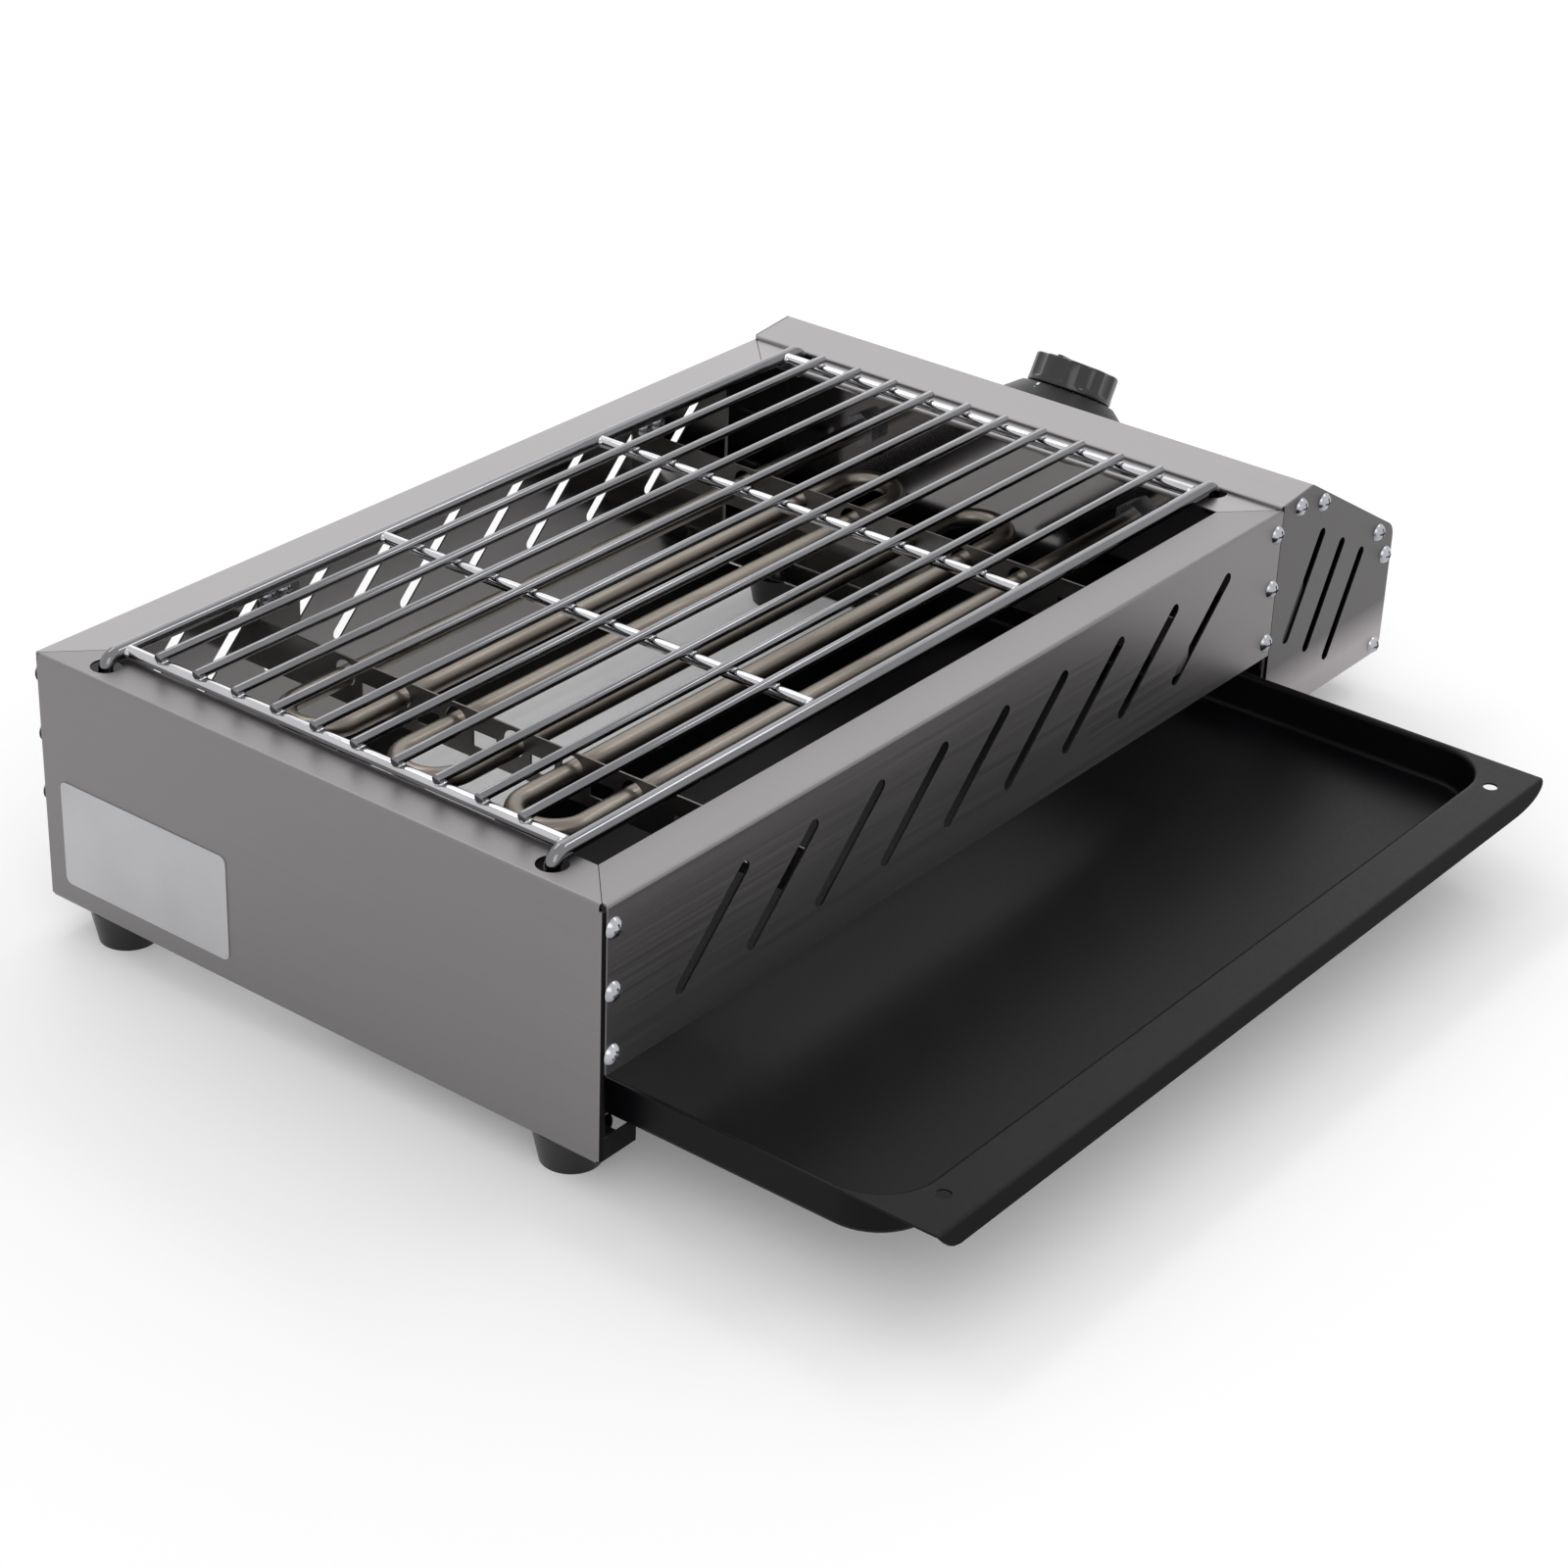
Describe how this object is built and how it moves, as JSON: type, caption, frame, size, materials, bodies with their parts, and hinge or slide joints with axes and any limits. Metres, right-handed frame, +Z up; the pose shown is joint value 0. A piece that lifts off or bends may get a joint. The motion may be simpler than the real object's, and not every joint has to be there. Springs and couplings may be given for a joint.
{
  "type": "electric barbecue grill",
  "caption": "Open-top electric barbecue grill with a lift-off wire rack, tubular heater, slide-out drip tray and a side control box with a thermostat knob.",
  "frame": {"origin": "centre of the bounding box in plan, on the surface the feet stand on", "axes": "+X along the length towards the control box, +Y from the tray's side to the rear panel, +Z up"},
  "size_m": [0.5304, 0.423, 0.1282],
  "materials": {
    "brushed_steel_body": "brushed stainless sheet, grain along the length",
    "brushed_steel_box": "brushed stainless sheet",
    "plain_steel_brackets": "plain rolled stainless sheet",
    "blank_label": "satin blank plate",
    "black_enamel_tray": "matte black enamel",
    "chromed_wire": "bright chrome over drawn wire",
    "heater_tube": "heat-tinted drawn tube",
    "zinc_fasteners": "zinc plate",
    "ceramic": "pale glazed ceramic",
    "brass_terminals": "plain brass",
    "copper_sensor": "drawn copper",
    "black_plastic_knob": "semi-gloss moulded thermoset",
    "black_plastic_gland": "moulded nylon",
    "live_insulation": "heat-proof sleeve",
    "neutral_insulation": "heat-proof sleeve",
    "earth_insulation": "heat-proof sleeve",
    "rubber_feet": "moulded black rubber"
  },
  "bodies": {
    "root": {"left_end_panel": "brushed_steel_body", "front_panel": "brushed_steel_body", "rear_panel": "brushed_steel_body", "right_end_frame": "brushed_steel_body", "box_cover": "brushed_steel_box", "box_front_plate": "brushed_steel_box", "box_rear_plate": "brushed_steel_box", "box_base": "brushed_steel_box", "rating_plate": "blank_label", "tray_rail_left": "plain_steel_brackets", "tray_rail_right": "plain_steel_brackets", "heating_element": "heater_tube", "element_collars": "zinc_fasteners", "element_nuts": "zinc_fasteners", "element_insulators": "ceramic", "element_pins": "brass_terminals", "heater_support_left": "plain_steel_brackets", "heater_support_right": "plain_steel_brackets", "support_screws": "zinc_fasteners", "front_panel_screws": "zinc_fasteners", "rear_panel_screws": "zinc_fasteners", "box_front_screws": "zinc_fasteners", "box_rear_screws": "zinc_fasteners", "knob_bezel": "black_plastic_knob", "thermostat_body": "ceramic", "thermostat_screws": "zinc_fasteners", "sensor_bulb": "copper_sensor", "sensor_clips": "zinc_fasteners", "terminal_block": "ceramic", "terminal_block_screws": "zinc_fasteners", "live_wire": "live_insulation", "neutral_wire": "neutral_insulation", "earth_wire": "earth_insulation", "earth_screw": "brass_terminals", "cord_gland": "black_plastic_gland", "gland_nut": "black_plastic_gland", "foot_front_left": "rubber_feet", "foot_front_right": "rubber_feet", "foot_rear_left": "rubber_feet", "foot_rear_right": "rubber_feet", "foot_screws": "zinc_fasteners"},
    "tray": {"drip_tray": "black_enamel_tray"},
    "rack": {"rack_side_rods": "chromed_wire", "rack_cross_wires": "chromed_wire", "rack_bars": "chromed_wire"},
    "knob": {"control_knob": "black_plastic_knob", "thermostat_shaft": "zinc_fasteners"}
  },
  "joints": [
    {"name": "tray_slide", "type": "slide", "parent": "root", "child": "tray", "axis": [0, -1, 0], "range_m": [-0.12, 0.12]},
    {"name": "rack_lift", "type": "slide", "parent": "root", "child": "rack", "axis": [0, 0, 1], "range_m": [0, 0.08]},
    {"name": "knob_turn", "type": "hinge", "parent": "root", "child": "knob", "pos_m": [0.22987, 0.0805, 0.09903], "axis": [-0.5, 0, -0.866], "range_deg": [0, 300]}
  ]
}
